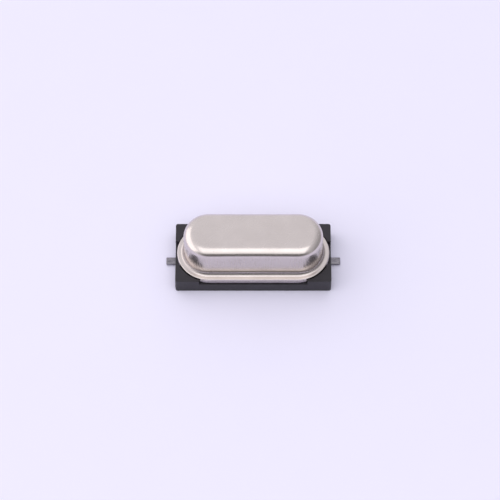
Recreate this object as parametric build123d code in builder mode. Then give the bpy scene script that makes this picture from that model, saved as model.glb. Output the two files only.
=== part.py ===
from build123d import *
import os
from math import cos, radians, sin

# Surface-mount quartz crystal unit. A welded oval metal can stands on a black moulded base. The two leads
# leave the header through glass seals, pass through the base, bend outwards and lie in grooves under it as
# flat solder terminals. Inside, a quartz strip bridges two spring clips, welded to the tops of the leads.
# Millimetres. X runs along the length, Y across, Z up from the solder plane. The origin is the centre of the
# footprint.

# The can
can_length = 10.15
can_width = 3.70
can_height = 3.05  # from the weld plane to the top
can_wall = 0.25
can_top_radius = 0.60  # outer edge round the top
can_foot_radius = 0.30  # hollow curve from the wall into the flange
flange_margin = 0.50  # how far the weld flange stands out past the can's wall

# The header
header_flange_thickness = 0.30
platform_height = 0.95  # from the header's underside to the top of its raised middle
platform_clearance = 0.12  # between the raised middle and the can's wall
platform_edge_radius = 0.15
pin_spacing = 4.88
seal_diameter = 1.70
seal_meniscus = 0.05  # how far the glass creeps along the lead

# The leads
lead_diameter = 0.43
lead_bend_radius = 0.45  # of the centreline
pin_proud = 0.15  # above the header's raised middle
terminal_width = 0.60
terminal_thickness = 0.25
terminal_taper = 0.40  # length over which the round wire turns flat
terminal_reach = 0.70  # past the end of the base
terminal_press_angle = 40  # half angle of the wire's round section that is pressed flat
terminal_edge_chamfer = 0.05

# The moulded base
base_thickness = 0.90
base_end_margin = 0.125  # past the flange at each end
base_side_margin = 0.10  # past the flange at each side
base_standoff = 0.05  # gap under the base, left by the terminals
base_corner_radius = 0.15
base_edge_chamfer = 0.06
post_height = 0.45  # corner posts, above the seat
post_length = 1.75  # along the base's side
post_width = 1.50  # along the base's end
post_edge_chamfer = 0.05
flange_clearance = 0.06  # between the flange and the posts
lead_hole_clearance = 0.085
groove_clearance = 0.075  # at each side of a terminal, and over it
bend_pocket_room = 0.13  # over the round wire at its bend
seal_recess_clearance = 0.15
seal_recess_depth = 0.08

# The quartz strip and what carries it
blank_end_room = 0.875  # from the strip's end to the can's wall
blank_width = 1.80
blank_thickness = 0.20
blank_bevel = 0.04
film_thickness = 0.01
electrode_length = 4.20
electrode_width = 1.30
tab_width = 0.60
pad_length = 0.60
pad_width = 1.20
clip_thickness = 0.10
clip_width = 1.40
clip_foot_reach = 0.30  # to each side of the lead
clip_rise = 0.50
clip_rise_run = 0.25
clip_bend_radius = 0.12
clip_stop_height = 0.35  # of the upturned end, above the shelf
clip_stop_gap = 0.10  # between the strip's end and the clip's upturned end
adhesive_cover = 0.45  # length of the adhesive over the strip's end
adhesive_height = 0.12
adhesive_edge_radius = 0.08

# Lengths and places worked out from the sizes above
end_centre_x = (can_length - can_width) / 2  # centre of each half-round end, shared by the can and the header
flange_width = can_width + 2 * flange_margin
flange_length = can_length + 2 * flange_margin
base_length = flange_length + 2 * base_end_margin
base_width = flange_width + 2 * base_side_margin
seat_z = base_standoff + base_thickness
weld_z = seat_z + header_flange_thickness
platform_top_z = seat_z + platform_height
pin_top_z = platform_top_z + pin_proud
shelf_z = pin_top_z + clip_thickness + clip_rise  # top of each clip's shelf
pin_x = pin_spacing / 2
terminal_end_x = base_length / 2 + terminal_reach
inner_length = can_length - 2 * can_wall
inner_width = can_width - 2 * can_wall
blank_length = inner_length - 2 * blank_end_room
film_end_x = blank_length / 2 + film_thickness
blank_bottom_z = shelf_z + film_thickness
blank_middle_z = blank_bottom_z + blank_thickness / 2
film_top_z = blank_bottom_z + blank_thickness + film_thickness
stop_x = blank_length / 2 + clip_stop_gap  # inner face of each clip's upturned end


def side_name(side):
    return "right" if side > 0 else "left"


os.makedirs("parts", exist_ok=True)

# Can: one drawn shell of even thickness, flared at its foot into the flange that is welded to the header.
with BuildPart() as can:
    with BuildSketch(Plane.XY.offset(weld_z)):
        SlotCenterToCenter(2 * end_centre_x, flange_width)
    extrude(amount=can_wall)
    with BuildSketch(Plane.XY.offset(weld_z + can_wall)):
        SlotCenterToCenter(2 * end_centre_x, can_width)
    extrude(amount=can_height - can_wall)
    flange_top = can.faces().filter_by_position(Axis.Z, weld_z + can_wall, weld_z + can_wall)[0]
    fillet(flange_top.inner_wires().edges(), can_foot_radius)
    fillet(can.faces().sort_by(Axis.Z)[-1].edges(), can_top_radius)
    with BuildSketch(Plane.XY.offset(weld_z)):
        SlotCenterToCenter(2 * end_centre_x, inner_width)
    extrude(amount=can_height - can_wall, mode=Mode.SUBTRACT)
    ceiling = can.faces().filter_by(Plane.XY).sort_by(Axis.Z)[-2]
    fillet(ceiling.edges(), can_top_radius - can_wall)
    mouth = can.faces().sort_by(Axis.Z)[0]
    fillet(mouth.inner_wires().edges(), can_foot_radius + can_wall)
can.part.label = "can"
export_step(can.part, "parts/can.step")

# Header: coined steel plate with a thin flange under the can's and a thick middle that holds the glass.
with BuildPart() as header:
    with BuildSketch(Plane.XY.offset(seat_z)):
        SlotCenterToCenter(2 * end_centre_x, flange_width)
    extrude(amount=header_flange_thickness)
    with BuildSketch(Plane.XY.offset(seat_z)):
        SlotCenterToCenter(2 * end_centre_x, inner_width - 2 * platform_clearance)
    extrude(amount=platform_height)
    fillet(header.faces().sort_by(Axis.Z)[-1].edges(), platform_edge_radius)
    with BuildSketch(Plane.XY.offset(seat_z)):
        with GridLocations(pin_spacing, 1, 2, 1):
            Circle(seal_diameter / 2)
    extrude(amount=platform_height, mode=Mode.SUBTRACT)
header.part.label = "header"
export_step(header.part, "parts/header.step")

# Base: moulded plate with four corner posts around the flange, a hole for each lead and a groove under each.
with BuildPart() as base:
    with BuildSketch(Plane.XY.offset(base_standoff)):
        RectangleRounded(base_length, base_width, base_corner_radius)
    extrude(amount=base_thickness + post_height)
    chamfer(base.faces().sort_by(Axis.Z)[0].edges(), base_edge_chamfer)
    chamfer(base.faces().sort_by(Axis.Z)[-1].edges(), post_edge_chamfer)
    with BuildSketch(Plane.XY.offset(seat_z)):
        SlotCenterToCenter(2 * end_centre_x, flange_width + 2 * flange_clearance)
        Rectangle(base_length - 2 * post_length, 2 * base_width)
        Rectangle(2 * base_length, base_width - 2 * post_width)
    extrude(amount=post_height, mode=Mode.SUBTRACT)
    with BuildSketch(Plane.XY.offset(base_standoff)):
        with GridLocations(pin_spacing, 1, 2, 1):
            Circle(lead_diameter / 2 + lead_hole_clearance)
    extrude(amount=base_thickness, mode=Mode.SUBTRACT)
    with BuildSketch(Plane.XY.offset(seat_z)):
        with GridLocations(pin_spacing, 1, 2, 1):
            Circle(seal_diameter / 2 + seal_recess_clearance)
    extrude(amount=-seal_recess_depth, mode=Mode.SUBTRACT)
    groove_width = terminal_width + 2 * groove_clearance
    groove_start_x = pin_x - groove_width / 2
    taper_end_x = pin_x + lead_bend_radius + terminal_taper
    for side in (-1, 1):
        with BuildSketch(Plane.XY):
            with Locations(((groove_start_x + base_length) * side / 2, 0)):
                Rectangle(base_length - groove_start_x, groove_width)
        extrude(amount=terminal_thickness + groove_clearance, mode=Mode.SUBTRACT)
        with BuildSketch(Plane.XY):
            with Locations(((groove_start_x + taper_end_x) * side / 2, 0)):
                Rectangle(taper_end_x - groove_start_x, groove_width)
        extrude(amount=lead_diameter + bend_pocket_room, mode=Mode.SUBTRACT)
base.part.label = "base"
export_step(base.part, "parts/base.step")

for side in (-1, 1):
    name = side_name(side)
    outward = Plane(origin=(side * pin_x, 0, 0), x_dir=(side, 0, 0), z_dir=(0, -side, 0))

    # Glass seal: a bead fused between the header's hole and the lead, creeping up the lead at both faces.
    with BuildPart() as seal:
        with BuildSketch(outward):
            with BuildLine():
                lead_radius = lead_diameter / 2
                inner_top = (lead_radius, platform_top_z + seal_meniscus)
                inner_bottom = (lead_radius, seat_z - seal_meniscus)
                outer_top = (seal_diameter / 2, platform_top_z)
                outer_bottom = (seal_diameter / 2, seat_z)
                Line(inner_bottom, inner_top)
                TangentArc(outer_top, inner_top, tangent=(-1, 0))
                Line(outer_top, outer_bottom)
                TangentArc(outer_bottom, inner_bottom, tangent=(-1, 0))
            make_face()
        revolve(axis=Axis((side * pin_x, 0, 0), (0, 0, 1)))
    seal.part.label = f"glass_seal_{name}"
    export_step(seal.part, f"parts/glass_seal_{name}.step")

    # Lead: a round pin that bends outwards under the base and is pressed flat into the solder terminal.
    with BuildPart() as lead:
        bend_end_x = lead_bend_radius
        wire_axis_z = lead_diameter / 2
        with BuildLine(outward) as lead_path:
            Line((0, pin_top_z), (0, wire_axis_z + lead_bend_radius))
            RadiusArc((0, wire_axis_z + lead_bend_radius), (bend_end_x, wire_axis_z), -lead_bend_radius)
        with BuildSketch(Plane.XY.offset(pin_top_z)):
            with Locations((side * pin_x, 0)):
                Circle(lead_diameter / 2)
        sweep(path=lead_path.line)
        across = Plane(origin=(side * (pin_x + bend_end_x), 0, 0), x_dir=(0, side, 0), z_dir=(side, 0, 0))
        # Both sections have four edges, so that each edge of the circle runs into one of the flat section.
        flat_half = (terminal_width - terminal_thickness) / 2
        rim_x = lead_diameter / 2 * sin(radians(terminal_press_angle))
        rim_z = lead_diameter / 2 * cos(radians(terminal_press_angle))
        with BuildSketch(across) as round_end:
            with BuildLine():
                ThreePointArc((-rim_x, wire_axis_z + rim_z), (0, lead_diameter), (rim_x, wire_axis_z + rim_z))
                ThreePointArc((rim_x, wire_axis_z + rim_z), (lead_diameter / 2, wire_axis_z),
                              (rim_x, wire_axis_z - rim_z))
                ThreePointArc((rim_x, wire_axis_z - rim_z), (0, 0), (-rim_x, wire_axis_z - rim_z))
                ThreePointArc((-rim_x, wire_axis_z - rim_z), (-lead_diameter / 2, wire_axis_z),
                              (-rim_x, wire_axis_z + rim_z))
            make_face()
        with BuildSketch(across.offset(terminal_taper)) as flat_start:
            with BuildLine():
                Line((-flat_half, terminal_thickness), (flat_half, terminal_thickness))
                ThreePointArc((flat_half, terminal_thickness), (terminal_width / 2, terminal_thickness / 2),
                              (flat_half, 0))
                Line((flat_half, 0), (-flat_half, 0))
                ThreePointArc((-flat_half, 0), (-terminal_width / 2, terminal_thickness / 2),
                              (-flat_half, terminal_thickness))
            make_face()
        loft([round_end.sketch, flat_start.sketch], ruled=True)
        extrude(flat_start.sketch, amount=terminal_end_x - (pin_x + bend_end_x + terminal_taper))
        tip = lead.faces().sort_by(Axis.X)[-1 if side > 0 else 0]
        chamfer(tip.edges().filter_by(Axis.Y).sort_by(Axis.Z)[-1], terminal_edge_chamfer)
    lead.part.label = f"lead_{name}"
    export_step(lead.part, f"parts/lead_{name}.step")

    # Clip: a bent strip, welded on the lead, with a raised shelf for the quartz and an upturned end.
    with BuildPart() as clip:
        clip_middle = clip_thickness / 2
        foot_z = pin_top_z + clip_middle
        shelf_middle_z = shelf_z - clip_middle
        stop_middle_x = stop_x + clip_middle - pin_x
        with BuildSketch(outward):
            with BuildLine():
                FilletPolyline(
                    (-clip_foot_reach, foot_z),
                    (clip_foot_reach, foot_z),
                    (clip_foot_reach + clip_rise_run, shelf_middle_z),
                    (stop_middle_x, shelf_middle_z),
                    (stop_middle_x, shelf_z + clip_stop_height),
                    radius=clip_bend_radius,
                )
            trace(line_width=clip_thickness)
        extrude(amount=clip_width / 2, both=True)
    clip.part.label = f"clip_{name}"
    export_step(clip.part, f"parts/clip_{name}.step")

# Quartz strip: a flat rectangular plate with bevelled long edges.
with BuildPart() as blank:
    with Locations((0, 0, blank_middle_z)):
        Box(blank_length, blank_width, blank_thickness)
    chamfer(blank.edges().filter_by(Axis.X), blank_bevel)
blank.part.label = "quartz_strip"
export_step(blank.part, "parts/quartz_strip.step")

# Electrodes: one silver film on each face of the strip. Each runs out along a tab to one end of the strip and
# wraps round it to a pad on the other face.
for face, name in ((1, "top"), (-1, "bottom")):
    film_z = blank_middle_z + face * (blank_thickness + film_thickness) / 2
    back_z = blank_middle_z - face * (blank_thickness + film_thickness) / 2
    end = -face  # the top film ends at the left, the bottom film at the right
    with BuildPart() as electrode:
        with Locations((0, 0, film_z)):
            Box(electrode_length, electrode_width, film_thickness)
        with Locations((end * film_end_x / 2, 0, film_z)):
            Box(film_end_x, tab_width, film_thickness)
        pad_x = end * (film_end_x - pad_length / 2)
        with Locations((pad_x, 0, film_z), (pad_x, 0, back_z)):
            Box(pad_length, pad_width, film_thickness)
        with Locations((end * (film_end_x - film_thickness / 2), 0, blank_middle_z)):
            Box(film_thickness, pad_width, blank_thickness + 2 * film_thickness)
    electrode.part.label = f"electrode_{name}"
    export_step(electrode.part, f"parts/electrode_{name}.step")

# Adhesive: a conductive dot over each end of the strip, down the gap to the clip's upturned end.
for side in (-1, 1):
    name = side_name(side)
    with BuildPart() as adhesive:
        dot_start_x = film_end_x - adhesive_cover
        with Locations((side * (dot_start_x + stop_x) / 2, 0, film_top_z + adhesive_height / 2)):
            Box(stop_x - dot_start_x, pad_width, adhesive_height)
        dome_edges = adhesive.faces().sort_by(Axis.Z)[-1].edges()
        clip_side = dome_edges.sort_by(Axis.X)[-1 if side > 0 else 0]
        fillet([edge for edge in dome_edges if edge != clip_side], adhesive_edge_radius)
        with Locations((side * (film_end_x + stop_x) / 2, 0, (shelf_z + clip_bend_radius + film_top_z) / 2)):
            Box(stop_x - film_end_x, pad_width, film_top_z - shelf_z - clip_bend_radius)
    adhesive.part.label = f"adhesive_{name}"
    export_step(adhesive.part, f"parts/adhesive_{name}.step")
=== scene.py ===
import math

import bpy
import numpy as np
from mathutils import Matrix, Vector


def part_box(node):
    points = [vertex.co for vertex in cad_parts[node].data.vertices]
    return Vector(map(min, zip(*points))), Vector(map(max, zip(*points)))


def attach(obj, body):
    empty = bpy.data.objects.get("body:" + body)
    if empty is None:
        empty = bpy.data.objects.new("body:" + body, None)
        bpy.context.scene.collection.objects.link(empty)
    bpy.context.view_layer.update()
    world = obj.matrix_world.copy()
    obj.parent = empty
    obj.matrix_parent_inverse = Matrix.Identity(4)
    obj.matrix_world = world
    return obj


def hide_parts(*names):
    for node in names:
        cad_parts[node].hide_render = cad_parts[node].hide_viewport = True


bl_info = {
    "name": "Crystal resonator",
    "version": (1, 0, 0),
    "blender": (4, 5, 0),
    "location": "3D View > Sidebar > Crystal",
    "description": "Finishes a surface-mount quartz crystal unit around its packed frame",
    "category": "Object",
}

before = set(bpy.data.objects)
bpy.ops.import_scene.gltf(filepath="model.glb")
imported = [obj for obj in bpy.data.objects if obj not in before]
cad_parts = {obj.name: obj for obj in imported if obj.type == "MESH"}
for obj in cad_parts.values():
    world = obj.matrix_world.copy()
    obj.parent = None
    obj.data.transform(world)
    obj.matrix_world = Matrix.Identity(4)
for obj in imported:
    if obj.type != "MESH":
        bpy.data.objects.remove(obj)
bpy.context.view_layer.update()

MM = 0.001
WELD_TOLERANCE = 1e-8  # points nearer than this are one point
FLOOR_HALF = 0.6  # half the floor's side
LAMP_DISTANCE = 0.5  # from the object's foot to each softbox
CAN_LOW, CAN_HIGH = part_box("can")
HEADER_LOW, HEADER_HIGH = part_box("header")
BASE_LOW, BASE_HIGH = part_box("base")
LEAD_LOW, LEAD_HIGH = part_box("lead_right")
SEAL_LOW, SEAL_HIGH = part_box("glass_seal_right")

FLANGE_HALF_WIDTH = CAN_HIGH.y
END_CENTRE = CAN_HIGH.x - CAN_HIGH.y  # centre of each half-round end of can and header
WELD_Z = CAN_LOW.z
PIN_X = (SEAL_LOW.x + SEAL_HIGH.x) / 2
SEAL_RADIUS = (SEAL_HIGH.x - SEAL_LOW.x) / 2


def linear(hex_colour):
    """An sRGB colour, written 0xRRGGBB, as linear red, green, blue."""
    channels = np.array([(hex_colour >> shift) & 255 for shift in (16, 8, 0)]) / 255
    return tuple(np.where(channels <= 0.04045, channels / 12.92, ((channels + 0.055) / 1.055) ** 2.4))


def length(name, description, value):
    """A length property, in metres."""
    return bpy.props.FloatProperty(name=name, description=description, default=value, unit="LENGTH",
                                   precision=6)


def colour(name, description, hex_colour):
    """A colour property, given as an sRGB hex value."""
    return bpy.props.FloatVectorProperty(name=name, description=description, default=linear(hex_colour),
                                         subtype="COLOR", min=0, max=1)


def brightness(name, description, value):
    """A brightness property, where 1 is white."""
    return bpy.props.FloatProperty(name=name, description=description, default=value, subtype="FACTOR",
                                   min=0, max=5)


# ---------------------------------------------------------------------------------------------- properties


class CanSettings(bpy.types.PropertyGroup):
    wall: length("Wall", "Thickness of the drawn sheet", 0.25 * MM)
    flange_margin: length("Flange margin", "Reach of the weld flange past the wall", 0.50 * MM)
    top_radius: length("Top radius", "Depth of the rounding round the top", 0.60 * MM)
    shoulder_run: length("Shoulder run", "Width over which the top turns down into the wall", 0.85 * MM)
    foot_radius: length("Foot radius", "Hollow radius from the wall to the flange", 0.30 * MM)
    edge_radius: length("Edge radius", "Rounding of the flange's sheared edge", 0.07 * MM)
    top_dish: length("Top dish", "Depth by which the top sinks in its middle", 0.012 * MM)
    side_bow: length("Side bow", "Depth by which the long sides draw in at half length", 0.020 * MM)
    metal: colour("Metal", "Nickel silver", 0xD7CFCB)
    metal_dull: colour("Dull metal", "Nickel silver where it is handled", 0xD0C8C4)
    # Painted shade: a darker tint that the can's metal takes in the hollow of the foot.
    foot_shade: colour("Foot_shade", "What polishing leaves in the hollow of the foot", 0x8A8280)


class HeaderSettings(bpy.types.PropertyGroup):
    platform_clearance: length("Platform clearance", "Gap from the raised middle to the can", 0.12 * MM)
    platform_radius: length("Platform radius", "Rounding of the raised middle's edge", 0.15 * MM)
    flange_thickness: length("Flange thickness", "Thickness of the weld flange", 0.30 * MM)
    edge_radius: length("Edge radius", "Rounding of the coined edge", 0.07 * MM)
    plating: colour("Plating", "Nickel plating", 0xB9B1B6)


class BaseSettings(bpy.types.PropertyGroup):
    plate_thickness: length("Plate thickness", "Thickness of the plate under the header", 0.90 * MM)
    corner_radius: length("Corner radius", "Rounding of the four upright corners", 0.15 * MM)
    flange_clearance: length("Flange clearance", "Gap from the posts to the weld flange", 0.06 * MM)
    post_length: length("Post length", "Length of a corner post along the base", 1.75 * MM)
    post_width: length("Post width", "Width of a corner post across the base", 1.50 * MM)
    hole_clearance: length("Hole clearance", "Gap round a lead in its hole", 0.085 * MM)
    groove_clearance: length("Groove clearance", "Gap over and beside a terminal in its groove", 0.075 * MM)
    pocket_room: length("Pocket room", "Gap over a lead's bend", 0.13 * MM)
    recess_clearance: length("Recess clearance", "Gap round a glass seal", 0.15 * MM)
    recess_depth: length("Recess depth", "Depth of the recess under a glass seal", 0.08 * MM)
    edge_radius: length("Edge radius", "Rounding of the moulded edges", 0.035 * MM)
    resin: colour("Resin", "Black glass-filled resin", 0x17131B)
    resin_worn: colour("Worn resin", "Resin where the mould has dulled it", 0x211D26)


class LeadSettings(bpy.types.PropertyGroup):
    wire_diameter: length("Wire diameter", "Diameter of the round wire", 0.43 * MM)
    bend_radius: length("Bend radius", "Radius of the wire's centreline at the bend", 0.45 * MM)
    flat_thickness: length("Flat thickness", "Thickness of the pressed terminal", 0.25 * MM)
    taper: length("Taper", "Length over which the wire turns flat", 0.40 * MM)
    tip_radius: length("Tip radius", "Rounding of the cropped tip", 0.05 * MM)
    tin: colour("Tin", "Dipped tin", 0x99969C)
    tin_dark: colour("Dull tin", "Tin where it has dulled", 0x7C7980)


class InsideSettings(bpy.types.PropertyGroup):
    seal_glass: colour("Seal glass", "Fused sealing glass", 0x24433C)
    spring: colour("Spring", "Rolled nickel silver strip", 0xC9BEAB)
    quartz: colour("Quartz", "Lapped quartz", 0xF0F4F5)
    silver: colour("Silver", "Evaporated silver", 0xF2EFE8)
    adhesive: colour("Adhesive", "Silver-filled resin", 0x9A9894)


class StageSettings(bpy.types.PropertyGroup):
    elevation: bpy.props.FloatProperty(name="Elevation", description="Height of the camera above the horizon",
                                       default=math.radians(60), subtype="ANGLE")
    view_width: length("View width", "Width that the camera takes in at the object", 36.6 * MM)
    look_x: length("Look X", "Where the camera looks, along the object", -0.24 * MM)
    look_z: length("Look Z", "Where the camera looks, above the floor", 1.78 * MM)
    floor: colour("Floor", "Pale paper", 0xEDEBFD)
    room: brightness("Room", "Brightness of the room", 1.0)
    room_front: brightness("Room front", "How much darker the room is behind the camera", 0.80)
    room_right: brightness("Room right", "How much darker the room is on the right", 0.55)
    overhead: brightness("Overhead", "Brightness of the softbox over the front", 0.80)
    left: brightness("Left", "Brightness of the softbox on the left", 0.80)


# ------------------------------------------------------------------------------------------------ surfaces


def arc(centre, radius, start, end, count):
    """Points of a circle arc in the plane of a profile, from angle start to angle end in degrees, as
    (count, 2)."""
    angles = np.radians(np.linspace(start, end, count))
    return np.array(centre) + radius * np.stack([np.cos(angles), np.sin(angles)], -1)


def grid_faces(rows, columns, closed):
    """Quads between neighbouring rows and columns of a grid of points. They face the way that a screw
    goes when it turns from the rows' direction to the columns'. A closed grid joins its last column to
    its first."""
    row, column = np.meshgrid(np.arange(rows - 1), np.arange(columns - (not closed)), indexing="ij")
    after = (column + 1) % columns
    quads = [row * columns + column, (row + 1) * columns + column, (row + 1) * columns + after,
             row * columns + after]
    return np.stack(quads, -1).reshape(-1, 4)


def welded(points, faces):
    """The same surface with each place in space held by one point. A quad with two corners in one place
    becomes a triangle, one that has shrunk to a line is dropped, and so are the points that no face
    uses."""
    keys = np.round(points / WELD_TOLERANCE).astype(np.int64)
    _, first, merged = np.unique(keys, axis=0, return_index=True, return_inverse=True)
    faces = merged.reshape(-1)[faces]
    repeats = faces == np.roll(faces, 1, axis=1)
    across = (faces[:, 0] == faces[:, 2]) | (faces[:, 1] == faces[:, 3])
    quads = faces[~repeats.any(1) & ~across]
    triangles = faces[(repeats.sum(1) == 1) & ~across]
    triangles = triangles[~repeats[(repeats.sum(1) == 1) & ~across]].reshape(-1, 3)
    used, corners = np.unique(np.concatenate([quads.ravel(), triangles.ravel()]), return_inverse=True)
    quads, triangles = corners[:quads.size].reshape(-1, 4), corners[quads.size:].reshape(-1, 3)
    return points[first][used], quads.tolist() + triangles.tolist()


def add_piece(name, points, faces, material, slot, *nodes):
    """Puts a welded surface into a smooth-shaded mesh that stands for the CAD nodes and rides on the
    part."""
    mesh = bpy.data.meshes.new(name)
    mesh.from_pydata(points.tolist(), [], faces)
    mesh.update(calc_edges=True)
    mesh.shade_smooth()
    mesh.materials.append(material)
    piece = bpy.data.objects.new(name, mesh)
    bpy.context.scene.collection.objects.link(piece)
    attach(piece, "root")
    if nodes:
        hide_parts(*nodes)
    return piece


def oval_path(straight_count, end_count):
    """Points and outward directions round an oval: a front run, a half-round end, a back run and the
    other end. The points lie on the line between the two end centres, so a point plus r times its
    direction is on the oval of half width r."""
    run = np.linspace(-END_CENTRE, END_CENTRE, straight_count)
    turn = np.linspace(-math.pi / 2, math.pi / 2, end_count)[1:-1]
    still, ends = np.zeros(straight_count), np.full(end_count - 2, END_CENTRE)
    points = np.concatenate([
        np.stack([run, still], -1),
        np.stack([ends, 0 * turn], -1),
        np.stack([run[::-1], still], -1),
        np.stack([-ends, 0 * turn], -1),
    ])
    directions = np.concatenate([
        np.stack([still, still - 1], -1),
        np.stack([np.cos(turn), np.sin(turn)], -1),
        np.stack([still, still + 1], -1),
        np.stack([-np.cos(turn), -np.sin(turn)], -1),
    ])
    return points, directions


def carried_round(profile, straight_count, end_count):
    """A profile of (distance from the middle line, height) carried round the oval path. Row i of the grid
    is the oval at distance profile[i, 0] and height profile[i, 1]."""
    centres, directions = oval_path(straight_count, end_count)
    plan = centres[None] + profile[:, None, :1] * directions[None]
    heights = np.broadcast_to(profile[:, None, 1:], plan.shape[:2] + (1,))
    points = np.concatenate([plan, heights], -1).reshape(-1, 3)
    return points, grid_faces(len(profile), len(centres), True)


# --------------------------------------------------------------------------------------------------- shapes


def can_profile(s):
    """The closed section of the can: down the outside from the middle of the top, round the flange's
    edge, and up the inside to the middle of the ceiling. The shoulder is a quarter of an ellipse, and the
    other bends are arcs."""
    flange, top, weld = FLANGE_HALF_WIDTH, CAN_HIGH.z, WELD_Z
    outer = flange - s.flange_margin
    inner = outer - s.wall
    shelf = weld + s.wall
    bend = s.foot_radius + s.wall
    ceiling_radius = s.top_radius - s.wall
    e = s.edge_radius
    shoulder = arc((0, 0), 1, 90, 0, 24) * (s.shoulder_run, s.top_radius)
    shoulder += (outer - s.shoulder_run, top - s.top_radius)
    return np.concatenate([
        np.stack([np.linspace(0, outer - s.shoulder_run, 10)[:-1], np.full(9, top)], -1),
        shoulder,
        np.stack([np.full(10, outer), np.linspace(top - s.top_radius, shelf + s.foot_radius, 12)[1:-1]], -1),
        arc((outer + s.foot_radius, shelf + s.foot_radius), s.foot_radius, 180, 270, 12),
        arc((flange - e, shelf - e), e, 90, 0, 6),
        arc((flange - e, weld + e), e, 0, -90, 6),
        arc((inner + bend, weld + bend), bend, 270, 180, 10),
        arc((inner - ceiling_radius, top - s.top_radius), ceiling_radius, 0, 90, 10),
        np.array([[0, top - s.wall]]),
    ])


def drawn_in(points, s):
    """The can as the press leaves it. The top sinks by a shallow paraboloid, and the long sides draw in
    by a cosine hump along the length, which fades towards the foot."""
    outer = FLANGE_HALF_WIDTH - s.flange_margin
    x, y, z = points.T
    along = np.clip(1 - (x / (END_CENTRE + outer)) ** 2, 0, 1)
    across = np.clip(1 - (y / outer) ** 2, 0, 1)
    # The ceiling sinks with the top, and what lies lower stays.
    near_top = np.clip((z - (CAN_HIGH.z - s.wall * 1.2)) / (s.wall * 0.2), 0, 1)
    z = z - s.top_dish * along * across * near_top
    rise = np.clip((z - WELD_Z - s.wall) / (CAN_HIGH.z - WELD_Z), 0, 1)
    hump = 0.5 + 0.5 * np.cos(np.pi * np.clip(x / END_CENTRE, -1, 1))
    in_wall = np.abs(y) < outer * 1.01
    y = y - y / outer * s.side_bow * hump * np.sin(np.pi * rise) * in_wall
    return np.stack([x, y, z], -1)


def quarter_columns(arc_count, straight_count, chord_count):
    """Columns of a quarter of a plate that has one hole in it: along the half-round end, along the
    straight side, and back along the line that halves the plate. Each column is an end angle, an x on the
    straight side or a share of the halving line, and nan elsewhere."""
    angle = np.radians(np.linspace(0, 90, arc_count))
    straight = np.linspace(END_CENTRE, 0, straight_count)[1:]
    share = np.linspace(1, 0, chord_count)[1:]
    total = arc_count + len(straight) + len(share)
    columns = np.full((3, total), np.nan)
    columns[0, :arc_count] = angle
    columns[1, arc_count:arc_count + len(straight)] = straight
    columns[2, arc_count + len(straight):] = share
    return columns


def quarter_oval(columns, half_width):
    """The points of the columns on the oval of that half width, and on the halving line inside it."""
    angle, straight, share = columns
    x = np.where(np.isnan(angle), 0, END_CENTRE + half_width * np.cos(angle))
    y = np.where(np.isnan(angle), 0, half_width * np.sin(angle))
    x = np.where(np.isnan(straight), x, straight)
    y = np.where(np.isnan(straight), y, half_width)
    y = np.where(np.isnan(share), y, half_width * share)
    return np.stack([x, y], -1)


def four_quarters(points, faces):
    """A quarter surface mirrored to both sides and both ends. Faces that lie in a plane of symmetry are
    inside the piece and are left out."""
    inside = (np.abs(points[faces][:, :, 0]) < WELD_TOLERANCE).all(1)
    inside |= (np.abs(points[faces][:, :, 1]) < WELD_TOLERANCE).all(1)
    faces = faces[~inside]
    all_points, all_faces = [], []
    for end in (1, -1):
        for side in (1, -1):
            all_faces.append((faces if end * side > 0 else faces[:, ::-1]) + len(points) * len(all_points))
            all_points.append(points * (end, side, 1))
    return welded(np.concatenate(all_points), np.concatenate(all_faces))


def at_height(plan, height):
    """A row of plan points at one height, or at a height for each."""
    return np.concatenate([plan, np.broadcast_to(height, len(plan))[:, None]], -1)


def header_surface(s, can):
    """The header: from the seal's hole over the raised middle, down to the flange, round its edge, back
    under the plate and up the hole's wall."""
    seat, top = HEADER_LOW.z, HEADER_HIGH.z
    platform = FLANGE_HALF_WIDTH - can.flange_margin - can.wall - s.platform_clearance
    weld = seat + s.flange_thickness
    e = s.edge_radius
    columns = quarter_columns(28, 14, 10)
    outline = quarter_oval(columns, platform)
    # Each column leaves the seal's hole in the direction of its place on the raised middle.
    towards = np.arctan2(outline[:, 1], outline[:, 0] - PIN_X)
    hole = np.stack([PIN_X + SEAL_RADIUS * np.cos(towards), SEAL_RADIUS * np.sin(towards)], -1)
    profile = np.concatenate([
        arc((platform - s.platform_radius, top - s.platform_radius), s.platform_radius, 90, 0, 8),
        arc((platform + e, weld + e), e, 180, 270, 5),
        arc((FLANGE_HALF_WIDTH - e, weld - e), e, 90, 0, 6),
        arc((FLANGE_HALF_WIDTH - e, seat + e), e, 0, -90, 6),
    ])
    rows = [at_height(hole, top)]
    rows += [at_height(quarter_oval(columns, distance), height) for distance, height in profile]
    rows += [at_height(hole, seat), at_height(hole, top)]
    return four_quarters(np.concatenate(rows), grid_faces(len(rows), len(hole), False))


def block_skin(full):
    """The faces between full blocks and empty ones, in a grid of points that is one longer each way than
    the array of blocks. Each faces away from its full block."""
    stride = np.array([(full.shape[1] + 1) * (full.shape[2] + 1), full.shape[2] + 1, 1])
    padded = np.pad(full.astype(int), 1)
    faces = []
    for axis in range(3):
        across, up = stride[(axis + 1) % 3], stride[(axis + 2) % 3]
        kept = [slice(1, -1)] * 3
        kept[axis] = slice(None)
        change = np.diff(padded[tuple(kept)], axis=axis)
        ends, begins = np.argwhere(change == -1) @ stride, np.argwhere(change == 1) @ stride
        faces.append(np.stack([ends, ends + across, ends + across + up, ends + up], -1))
        faces.append(np.stack([begins, begins + up, begins + up + across, begins + across], -1))
    return np.concatenate(faces)


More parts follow.
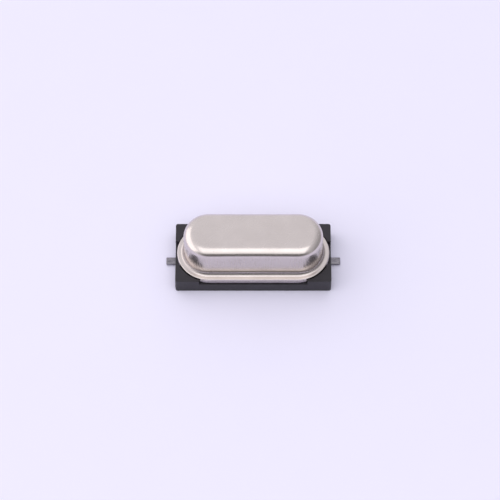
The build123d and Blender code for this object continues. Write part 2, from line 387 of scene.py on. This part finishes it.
def base_surface(s, leads):
    """The base, as a quarter plate cut into blocks by rings, rays and levels. Rings run from the lead's
    hole out to the outline, rays from the middle of the end round to the middle of the base, and levels
    from the underside to the top of the posts. Each ring's points run in even steps between its own
    places on nine key rays."""
    # The key rays are the middle of the end, the groove's side, the post's side, the start and end of the
    # corner, the post's front, the start of the straight side, its middle, and the middle of the base.
    steps = np.cumsum((0, 4, 4, 7, 6, 7, 4, 12, 10))
    _, groove_side, post_side, _, _, post_front, _, side_middle, last = steps
    column = np.arange(last + 1)

    def between(*values):
        """One value for each key ray, with even steps from each to the next."""
        return np.interp(column, steps, values)

    end, side = BASE_HIGH.x, BASE_HIGH.y
    hole = leads.wire_diameter / 2 + s.hole_clearance
    groove = LEAD_HIGH.y + s.groove_clearance
    pocket_back, pocket_front = PIN_X - groove, PIN_X + leads.bend_radius + leads.taper
    recess = SEAL_RADIUS + s.recess_clearance
    rim = FLANGE_HALF_WIDTH + s.flange_clearance
    post_y, post_x = side - s.post_width, end - s.post_length
    r = s.corner_radius
    groove_roof = leads.flat_thickness + s.groove_clearance
    pocket_roof = leads.wire_diameter + s.pocket_room
    plate_top = BASE_LOW.z + s.plate_thickness
    levels = np.array([
        BASE_LOW.z, groove_roof, pocket_roof, plate_top - s.recess_depth, plate_top, BASE_HIGH.z,
    ])

    # Where the groove and the post meet the recess and the rim, as angles round them.
    groove_on_recess = math.degrees(math.asin(groove / recess))
    groove_on_rim = math.degrees(math.asin(groove / rim))
    side_on_rim = math.degrees(math.asin(post_y / rim))
    front_on_rim = math.degrees(math.acos((post_x - END_CENTRE) / rim))
    round_hole = np.radians(between(0, 25, 50, 65, 70, 85, 100, 140, 180))
    round_recess = np.radians(between(0, groove_on_recess, 40, 52, 56, 75, 90, 135, 180))
    round_rim = np.radians(between(0, groove_on_rim, side_on_rim, 42, 48, front_on_rim, 90, 90, 90))
    round_corner = np.radians(between(0, 0, 0, 0, 90, 90, 90, 90, 90))
    pocket_x = pocket_front + (pocket_back - pocket_front) * between(0, 0, 0.15, 0.28, 0.32, 0.5, 0.65, 1, 1)
    pocket_y = groove * between(0, 1, 1, 1, 1, 1, 1, 1, 0)
    rim_x = END_CENTRE * between(1, 1, 1, 1, 1, 1, 1, 0, 0)
    corner_x = between(end - r, end - r, end - r, end - r, end - r, post_x, END_CENTRE, 0, 0)
    corner_y = between(0, groove, post_y, side - r, side - r, side - r, side - r, side - r, side - r)
    to_middle = between(1, 1, 1, 1, 1, 1, 1, 1, 0)
    plan = np.array([
        [PIN_X + hole * np.cos(round_hole), hole * np.sin(round_hole)],
        [pocket_x, pocket_y],
        [PIN_X + recess * np.cos(round_recess), recess * np.sin(round_recess)],
        [rim_x + rim * np.cos(round_rim), rim * np.sin(round_rim) * to_middle],
        [corner_x + r * np.cos(round_corner), (corner_y + r * np.sin(round_corner)) * to_middle],
    ])

    # A block's numbers are those of the ring inside it, the ray before it and the level under it.
    full = np.ones((len(plan) - 1, last, len(levels) - 1), bool)
    full[:, :, 4] = False  # over the plate there is nothing,
    full[3, post_side:post_front, 4] = True  # but for the corner posts
    full[:2, :, 3] = False  # recess under the glass seal
    full[0, :, :2] = False  # pocket of the lead's bend
    full[1:, :groove_side, 0] = False  # groove of the terminal
    full[3, side_middle:] = False  # no width here, on the line that halves the base
    x, y = (np.repeat(plan[:, axis, :, None], len(levels), -1) for axis in (0, 1))
    points = np.stack([x, y, np.broadcast_to(levels, x.shape)], -1).reshape(-1, 3)
    return four_quarters(points, block_skin(full))


def lead_surface(s, side):
    """A round wire carried down, round the bend and outwards, with a section that turns from a circle
    into a flat strip with half-round edges. The section's straight part grows from nothing as its height
    shrinks."""
    wire, flat = s.wire_diameter / 2, s.flat_thickness / 2
    flat_straight = (LEAD_HIGH.y - LEAD_LOW.y) / 2 - flat
    tip = s.tip_radius
    top, end = LEAD_HIGH.z, LEAD_HIGH.x
    level = math.pi / 2
    bend_start = wire + s.bend_radius
    down = np.linspace(top - tip, bend_start, 8)[:-1]
    turn = np.radians(np.linspace(0, 90, 20))
    taper_x = PIN_X + s.bend_radius + np.linspace(0, s.taper, 16)[1:]
    share = np.linspace(0, 1, 16)[1:]
    blend = share ** 2 * (3 - 2 * share)
    taper_half = wire + (flat - wire) * blend
    flat_x = np.linspace(taper_x[-1], end - tip, 8)[1:]
    close = np.radians(np.linspace(0, 90, 6))[1:]
    wire_end = close[::-1]

    def stretch(x, z, heading, half, straight):
        """Steps of the path: the place of the section's middle, its heading from straight down (0) to
        outwards (90 degrees), half its height, and half the length of its straight part."""
        return np.stack(np.broadcast_arrays(x, z, heading, half, straight))

    x, z, heading, half, straight = np.concatenate([
        stretch([PIN_X], top, 0, 0, 0),
        stretch(PIN_X, top - tip + tip * np.sin(wire_end), 0, wire - tip + tip * np.cos(wire_end), 0),
        stretch(PIN_X, down, 0, wire, 0),
        stretch(PIN_X + s.bend_radius * (1 - np.cos(turn)), bend_start - s.bend_radius * np.sin(turn),
                turn, wire, 0),
        stretch(taper_x, taper_half, level, taper_half, flat_straight * blend),
        stretch(flat_x, flat, level, flat, flat_straight),
        stretch(end - tip + tip * np.sin(close), flat, level, flat - tip + tip * np.cos(close),
                flat_straight),
        stretch([end], flat, level, 0, flat_straight),
    ], axis=1)

    # Round the section, two columns at its top and two at its bottom hold the ends of its straight part.
    right = np.radians(np.linspace(-90, 90, 15))
    around = np.concatenate([right, right + math.pi])
    sign = np.repeat([1, -1], len(right))
    across = straight[:, None] * sign + half[:, None] * np.cos(around)
    above = half[:, None] * np.sin(around)
    points = np.stack([side * (x[:, None] + above * np.cos(heading)[:, None]), across,
                       z[:, None] + above * np.sin(heading)[:, None]], -1)
    faces = grid_faces(len(x), len(around), True)
    return points.reshape(-1, 3), faces[:, ::-1] if side > 0 else faces


# ------------------------------------------------------------------------------------------------ materials


NOISE_RANGE = {"From Min": 0.3, "From Max": 0.7}  # most of a noise's values lie in it


def add_node(tree, kind, inputs=None, **settings):
    """Adds a node with its settings and links. An input's key is its name, or its number where several
    share a name. What it takes is a constant, an output, or a node, which stands for its first live
    output."""
    node = tree.nodes.new(kind)
    for key, value in settings.items():
        setattr(node, key, value)
    for key, value in (inputs or {}).items():
        named = [socket for socket in node.inputs if socket.enabled and socket.name == key]
        socket = named[0] if named else node.inputs[key]
        if isinstance(value, bpy.types.Node):
            value = next(output for output in value.outputs if output.enabled)
        if isinstance(value, bpy.types.NodeSocket):
            tree.links.new(value, socket)
        else:
            socket.default_value = value
    return node


def new_material(name):
    """An empty material, its tree and its Object coordinates."""
    material = bpy.data.materials.new(name)
    material.use_nodes = True
    tree = material.node_tree
    tree.nodes.clear()
    return material, tree, add_node(tree, "ShaderNodeTexCoord").outputs["Object"]


def add_pattern(tree, place, size, heading=0, detail=2.0):
    """Noise whose features have that size along each axis, in millimetres, turned to a heading in
    degrees."""
    laid = add_node(tree, "ShaderNodeMapping", {
        "Vector": place, "Rotation": (0, 0, -math.radians(heading)), "Scale": [side * MM for side in size],
    }, vector_type="TEXTURE")
    return add_node(tree, "ShaderNodeTexNoise", {
        "Vector": laid, "Scale": 1, "Detail": detail, "Roughness": 0.55,
    })


def patterned_finish(name, tints, tint_size, grain_size, roughness, relief, constants, detail=2.0):
    """A finish of two patterns. The broad one blends the two tints, and the fine one runs the roughness
    between its two values. The relief is how far the broad one and the fine one stand out, in metres."""
    material, tree, place = new_material(name)
    broad = add_pattern(tree, place, tint_size)
    fine = add_pattern(tree, place, grain_size, detail=detail)
    share = add_node(tree, "ShaderNodeMapRange", {"Value": broad, **NOISE_RANGE})
    tint = add_node(tree, "ShaderNodeMix", {
        "Factor": share, "A": (*tints[0], 1), "B": (*tints[1], 1),
    }, data_type="RGBA")
    gloss = add_node(tree, "ShaderNodeMapRange", {
        "Value": fine, **NOISE_RANGE, "To Min": roughness[0], "To Max": roughness[1],
    })
    waves = add_node(tree, "ShaderNodeBump", {"Height": broad, "Distance": relief[0]})
    grain = add_node(tree, "ShaderNodeBump", {"Height": fine, "Distance": relief[1], "Normal": waves})
    shader = add_node(tree, "ShaderNodeBsdfPrincipled", {
        "Base Color": tint, "Roughness": gloss, "Normal": grain, **constants,
    })
    add_node(tree, "ShaderNodeOutputMaterial", {"Surface": shader})
    return material


def drawn_nickel_silver(s):
    """Nickel silver sheet, deep-drawn and tumbled: a satin warm grey, with upright drawing lines on the
    walls, a faint orange peel where the sheet stretched, stray scratches on the top, and painted shade, a
    darker tint, in the hollow of the foot. The lines and scratches are drawn 0.05 mm wide, a few times the
    real width, so that they show."""
    material, tree, place = new_material("drawn nickel silver")
    top, shelf = CAN_HIGH.z, WELD_Z + s.wall
    height = add_node(tree, "ShaderNodeSeparateXYZ", {"Vector": place}).outputs["Z"]

    # Each kind of mark has its own heights, over which it fades in and then fades out.
    zones = []
    for fade_in, fade_out in (
        ((top - 0.25 * MM, top - 0.05 * MM), (top + 1 * MM, top + 2 * MM)),
        ((shelf + 0.30 * MM, shelf + 0.80 * MM), (top - 0.60 * MM, top - 0.20 * MM)),
        ((shelf + 0.01 * MM, shelf + 0.06 * MM), (shelf + 0.10 * MM, shelf + 0.34 * MM)),
    ):
        rise = add_node(tree, "ShaderNodeMapRange", {
            "Value": height, "From Min": fade_in[0], "From Max": fade_in[1],
        })
        fall = add_node(tree, "ShaderNodeMapRange", {
            "Value": height, "From Min": fade_out[0], "From Max": fade_out[1], "To Min": 1, "To Max": 0,
        })
        zones.append(add_node(tree, "ShaderNodeMath", {0: rise, 1: fall}, operation="MULTIPLY"))
    on_top, on_wall, hollow = zones

    cloud = add_pattern(tree, place, (1.8, 1.8, 1.8))
    peel = add_pattern(tree, place, (0.16, 0.16, 0.16))
    grain = add_pattern(tree, place, (0.05, 0.05, 0.05))
    upright = add_pattern(tree, place, (0.06, 0.06, 2.0))
    lines = add_node(tree, "ShaderNodeMapRange", {"Value": upright, **NOISE_RANGE})
    drawn = add_node(tree, "ShaderNodeMath", {0: lines, 1: on_wall}, operation="MULTIPLY")

    # Scratches are the few highest crests of a long thin noise, in two headings.
    scratches = []
    for heading in (12, -55):
        streaks = add_pattern(tree, place, (1.7, 0.05, 0.05), heading, detail=1.0)
        scratches.append(add_node(tree, "ShaderNodeMapRange", {
            "Value": streaks, "From Min": 0.66, "From Max": 0.72,
        }))
    both = add_node(tree, "ShaderNodeMath", {0: scratches[0], 1: scratches[1]}, operation="ADD")
    stray = add_node(tree, "ShaderNodeMath", {0: both, 1: on_top}, operation="MULTIPLY")

    share = add_node(tree, "ShaderNodeMapRange", {"Value": cloud, **NOISE_RANGE})
    clean = add_node(tree, "ShaderNodeMix", {
        "Factor": share, "A": (*s.metal, 1), "B": (*s.metal_dull, 1),
    }, data_type="RGBA")
    patches = add_node(tree, "ShaderNodeMapRange", {
        "Value": grain, **NOISE_RANGE, "To Min": 0.5, "To Max": 0.9,
    })
    # Painted shade: in the hollow of the foot the metal is mixed towards a darker tint, in grainy patches.
    foot_shaded = add_node(tree, "ShaderNodeMix", {
        "Factor": patches, "A": (*s.metal, 1), "B": (*s.foot_shade, 1),
    }, data_type="RGBA")
    tint = add_node(tree, "ShaderNodeMix", {"Factor": hollow, "A": clean, "B": foot_shaded}, data_type="RGBA")

    rough = add_node(tree, "ShaderNodeMapRange", {
        "Value": cloud, **NOISE_RANGE, "To Min": 0.16, "To Max": 0.21,
    })
    for mark, extra in ((grain, 0.06), (stray, 0.10), (drawn, 0.08), (hollow, 0.06)):
        rough = add_node(tree, "ShaderNodeMath", {0: mark, 1: extra, 2: rough}, operation="MULTIPLY_ADD")
    relief = add_node(tree, "ShaderNodeBump", {"Height": peel, "Distance": 1.4e-6})
    for mark, depth in ((drawn, 0.8e-6), (stray, -0.4e-6)):
        relief = add_node(tree, "ShaderNodeBump", {"Height": mark, "Distance": depth, "Normal": relief})
    shader = add_node(tree, "ShaderNodeBsdfPrincipled", {
        "Base Color": tint, "Metallic": 1.0, "Roughness": rough, "Normal": relief,
    })
    add_node(tree, "ShaderNodeOutputMaterial", {"Surface": shader})
    return material


def shaded(tint, share):
    """A tint brought down to a share of its brightness."""
    return tuple(share * channel for channel in tint)


def nickel_plate(s):
    """Steel, coined and nickel-plated: smoother and cooler than the can, with a fine plating grain."""
    return patterned_finish(
        "nickel plating", tints=(s.plating, shaded(s.plating, 0.85)), tint_size=(0.9, 0.9, 0.9),
        grain_size=(0.07, 0.07, 0.07), roughness=(0.24, 0.36), relief=(0, 0.4e-6),
        constants={"Metallic": 1.0},
    )


def black_resin(s):
    """Black glass-filled resin from a spark-eroded mould: a fine even grain that breaks the gloss up,
    with the glass fibres showing as slightly greyer flow clouds."""
    return patterned_finish(
        "black moulded resin", tints=(s.resin, s.resin_worn), tint_size=(1.6, 0.8, 0.8),
        grain_size=(0.045, 0.045, 0.045), roughness=(0.42, 0.60), relief=(0, 7e-6), constants={"IOR": 1.55},
        detail=3.0,
    )


def dipped_tin(s):
    """Tin put on by dipping: soft metal with a rippled skin, bright where it ran and dull where it
    froze."""
    return patterned_finish(
        "dipped tin", tints=(s.tin, s.tin_dark), tint_size=(0.36, 0.22, 0.22), grain_size=(0.06, 0.06, 0.06),
        roughness=(0.22, 0.42), relief=(3e-6, 0.5e-6), constants={"Metallic": 1.0},
    )


def fused_glass(s):
    """Fused sealing glass: dark green and glossy, with a slow swirl."""
    return patterned_finish(
        "fused sealing glass", tints=(s.seal_glass, shaded(s.seal_glass, 0.6)), tint_size=(0.3, 0.3, 0.3),
        grain_size=(0.15, 0.15, 0.15), roughness=(0.05, 0.12), relief=(2e-6, 0), constants={"IOR": 1.52},
    )


def rolled_spring_strip(s):
    """Rolled nickel silver strip: bright, with rolling lines along its length."""
    return patterned_finish(
        "rolled spring strip", tints=(s.spring, shaded(s.spring, 0.9)), tint_size=(0.8, 0.08, 0.08),
        grain_size=(0.8, 0.04, 0.04), roughness=(0.20, 0.32), relief=(0, 0.6e-6), constants={"Metallic": 1.0},
    )


def lapped_quartz(s):
    """Quartz, lapped and etched: clear inside, with a fine frosted face."""
    return patterned_finish(
        "lapped quartz", tints=(s.quartz, shaded(s.quartz, 0.95)), tint_size=(0.2, 0.2, 0.2),
        grain_size=(0.03, 0.03, 0.03), roughness=(0.18, 0.34), relief=(0, 0.5e-6),
        constants={"IOR": 1.544, "Transmission Weight": 0.9},
    )


def evaporated_silver(s):
    """Silver, evaporated onto the lapped quartz, so it keeps the quartz's fine frost."""
    return patterned_finish(
        "evaporated silver", tints=(s.silver, shaded(s.silver, 0.93)), tint_size=(0.5, 0.5, 0.5),
        grain_size=(0.03, 0.03, 0.03), roughness=(0.14, 0.24), relief=(0, 0.4e-6),
        constants={"Metallic": 1.0},
    )


def silver_filled_adhesive(s):
    """Silver-filled resin, cured: a dull grey paste with flakes that catch the light."""
    return patterned_finish(
        "silver-filled adhesive", tints=(s.adhesive, shaded(s.adhesive, 0.7)), tint_size=(0.06, 0.06, 0.06),
        grain_size=(0.02, 0.02, 0.02), roughness=(0.45, 0.70), relief=(0, 3e-6), constants={"Metallic": 0.4},
        detail=4.0,
    )


def pale_paper(s):
    """Smooth uncoated paper: matt, with a faint grain that only shows close up."""
    return patterned_finish(
        "pale paper", tints=(s.floor, shaded(s.floor, 0.995)), tint_size=(4, 4, 4),
        grain_size=(0.2, 0.2, 0.2), roughness=(0.85, 0.95), relief=(0, 0),
        constants={"Specular IOR Level": 0.1},
    )


def finish_nodes(material, *names):
    """Gives CAD nodes that stay showing a material."""
    for name in names:
        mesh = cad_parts[name].data
        mesh.materials.clear()
        mesh.materials.append(material)


# ------------------------------------------------------------------------------------------------ operators


class CRYSTAL_OT_can(bpy.types.Operator):
    """Make the drawn can"""
    bl_idname = "crystal.can"
    bl_label = "Can"

    def execute(self, context):
        s = context.scene.crystal_can
        points, faces = welded(*carried_round(can_profile(s), 65, 65))
        add_piece("can_shell", drawn_in(points, s), faces, drawn_nickel_silver(s), "can_metal", "can")
        return {"FINISHED"}


class CRYSTAL_OT_header(bpy.types.Operator):
    """Make the header plate"""
    bl_idname = "crystal.header"
    bl_label = "Header"

    def execute(self, context):
        s = context.scene.crystal_header
        points, faces = header_surface(s, context.scene.crystal_can)
        add_piece("header_plate", points, faces, nickel_plate(s), "header_metal", "header")
        return {"FINISHED"}


class CRYSTAL_OT_base(bpy.types.Operator):
    """Make the moulded base"""
    bl_idname = "crystal.base"
    bl_label = "Base"

    def execute(self, context):
        s = context.scene.crystal_base
        points, faces = base_surface(s, context.scene.crystal_leads)
        piece = add_piece("base_moulding", points, faces, black_resin(s), "base_plastic", "base")
        edges = piece.modifiers.new("moulded edges", "BEVEL")
        edges.width = s.edge_radius
        edges.segments = 3
        edges.limit_method = "ANGLE"
        edges.angle_limit = math.radians(30)
        edges.harden_normals = True
        return {"FINISHED"}


class CRYSTAL_OT_leads(bpy.types.Operator):
    """Make both leads with their terminals"""
    bl_idname = "crystal.leads"
    bl_label = "Leads"

    def execute(self, context):
        s = context.scene.crystal_leads
        tin = dipped_tin(s)
        for side, name in ((-1, "left"), (1, "right")):
            points, faces = welded(*lead_surface(s, side))
            add_piece(f"terminal_{name}", points, faces, tin, "terminal_metal", f"lead_{name}")
        return {"FINISHED"}


class CRYSTAL_OT_inside(bpy.types.Operator):
    """Finish the seals, clips, quartz, electrodes and adhesive"""
    bl_idname = "crystal.inside"
    bl_label = "Inside"

    def execute(self, context):
        s = context.scene.crystal_inside
        finish_nodes(fused_glass(s), "glass_seal_left", "glass_seal_right")
        finish_nodes(rolled_spring_strip(s), "clip_left", "clip_right")
        finish_nodes(lapped_quartz(s), "quartz_strip")
        finish_nodes(evaporated_silver(s), "electrode_top", "electrode_bottom")
        finish_nodes(silver_filled_adhesive(s), "adhesive_left", "adhesive_right")
        return {"FINISHED"}


def add_softbox(name, direction, width, height, brightness, tint):
    """An oblong soft light that faces the object from a direction. Its power is its brightness times its
    area times pi."""
    data = bpy.data.lights.new(name, "AREA")
    data.shape = "RECTANGLE"
    data.size, data.size_y = width, height
    data.energy = brightness * math.pi * width * height
    data.color = linear(tint)
    light = bpy.data.objects.new(name, data)
    light.location = LAMP_DISTANCE * Vector(direction).normalized()
    light.rotation_mode = "QUATERNION"
    light.rotation_quaternion = light.location.to_track_quat("Z", "Y")
    bpy.context.scene.collection.objects.link(light)


def studio_room(s):
    """The room: pale all round, darker in the low part behind the camera, and a little darker on the
    right."""
    world = bpy.data.worlds.new("studio room")
    world.use_nodes = True
    tree = world.node_tree
    tree.nodes.clear()
    direction = add_node(tree, "ShaderNodeTexCoord").outputs["Generated"]
    low_front = Vector((0, -math.cos(math.radians(20)), math.sin(math.radians(20))))
    strength = s.room
    # Each dark part grows with the cosine of the angle from its heading, from start to end.
    for heading, loss, start, end in (
        (low_front, s.room_front, math.cos(math.radians(45)), math.cos(math.radians(15))),
        (Vector((1, 0, 0)), s.room_right, 0.3, 0.9),
    ):
        facing = add_node(tree, "ShaderNodeVectorMath", {0: direction, 1: heading}, operation="DOT_PRODUCT")
        dark = add_node(tree, "ShaderNodeMapRange", {
            "Value": facing, "From Min": start, "From Max": end, "To Min": 0, "To Max": loss,
        })
        strength = add_node(tree, "ShaderNodeMath", {0: strength, 1: dark}, operation="SUBTRACT",
                            use_clamp=True)
    background = add_node(tree, "ShaderNodeBackground", {
        "Color": (*linear(0xF4F2F8), 1), "Strength": strength,
    })
    add_node(tree, "ShaderNodeOutputWorld", {"Surface": background})
    return world


class CRYSTAL_OT_stage(bpy.types.Operator):
    """Make the floor, the lights and the camera"""
    bl_idname = "crystal.stage"
    bl_label = "Stage"

    def execute(self, context):
        s = context.scene.crystal_stage
        scene = context.scene
        mesh = bpy.data.meshes.new("floor")
        corners = [(-1, -1, 0), (1, -1, 0), (1, 1, 0), (-1, 1, 0)]
        mesh.from_pydata([FLOOR_HALF * Vector(corner) for corner in corners], [], [(0, 1, 2, 3)])
        mesh.materials.append(pale_paper(s))
        floor = bpy.data.objects.new("floor", mesh)
        scene.collection.objects.link(floor)

        scene.world = studio_room(s)
        add_softbox("overhead softbox", (0, -0.42, 0.90), 0.50, 0.48, s.overhead, 0xFFFFFF)
        add_softbox("left softbox", (-0.85, 0.10, 0.50), 0.80, 0.42, s.left, 0xFFF8F6)

        lens, sensor = 200.0, 36.0
        distance = s.view_width * lens / sensor
        back = Vector((0, -math.cos(s.elevation), math.sin(s.elevation)))
        data = bpy.data.cameras.new("camera")
        data.lens = lens
        data.sensor_width = sensor
        data.clip_start = 0.005
        data.clip_end = 5
        camera = bpy.data.objects.new("camera", data)
        camera.location = Vector((s.look_x, 0, s.look_z)) + back * distance
        camera.rotation_mode = "QUATERNION"
        camera.rotation_quaternion = (-back).to_track_quat("-Z", "Y")
        scene.collection.objects.link(camera)
        scene.camera = camera
        scene.view_settings.view_transform = "Standard"
        return {"FINISHED"}


class CRYSTAL_PT_sidebar(bpy.types.Panel):
    """Lists the pieces of the crystal resonator"""
    bl_idname = "CRYSTAL_PT_sidebar"
    bl_label = "Crystal resonator"
    bl_space_type = "VIEW_3D"
    bl_region_type = "UI"
    bl_category = "Crystal"

    def draw(self, context):
        for operator, settings in STEPS:
            box = self.layout.box()
            box.operator(operator.bl_idname)
            group = getattr(context.scene, settings)
            for key in group.bl_rna.properties.keys():
                if key not in ("rna_type", "name"):
                    box.prop(group, key)


GROUPS = {
    "crystal_can": CanSettings,
    "crystal_header": HeaderSettings,
    "crystal_base": BaseSettings,
    "crystal_leads": LeadSettings,
    "crystal_inside": InsideSettings,
    "crystal_stage": StageSettings,
}
STEPS = (
    (CRYSTAL_OT_can, "crystal_can"),
    (CRYSTAL_OT_header, "crystal_header"),
    (CRYSTAL_OT_base, "crystal_base"),
    (CRYSTAL_OT_leads, "crystal_leads"),
    (CRYSTAL_OT_inside, "crystal_inside"),
    (CRYSTAL_OT_stage, "crystal_stage"),
)
CLASSES = (*GROUPS.values(), *(operator for operator, _ in STEPS), CRYSTAL_PT_sidebar)


def register():
    for cls in CLASSES:
        bpy.utils.register_class(cls)
    for name, group in GROUPS.items():
        setattr(bpy.types.Scene, name, bpy.props.PointerProperty(type=group))


def unregister():
    for name in GROUPS:
        delattr(bpy.types.Scene, name)
    for cls in reversed(CLASSES):
        bpy.utils.unregister_class(cls)


def main():
    register()
    bpy.ops.crystal.can()
    bpy.ops.crystal.header()
    bpy.ops.crystal.base()
    bpy.ops.crystal.leads()
    bpy.ops.crystal.inside()
    bpy.ops.crystal.stage()


if __name__ == "__main__":
    main()
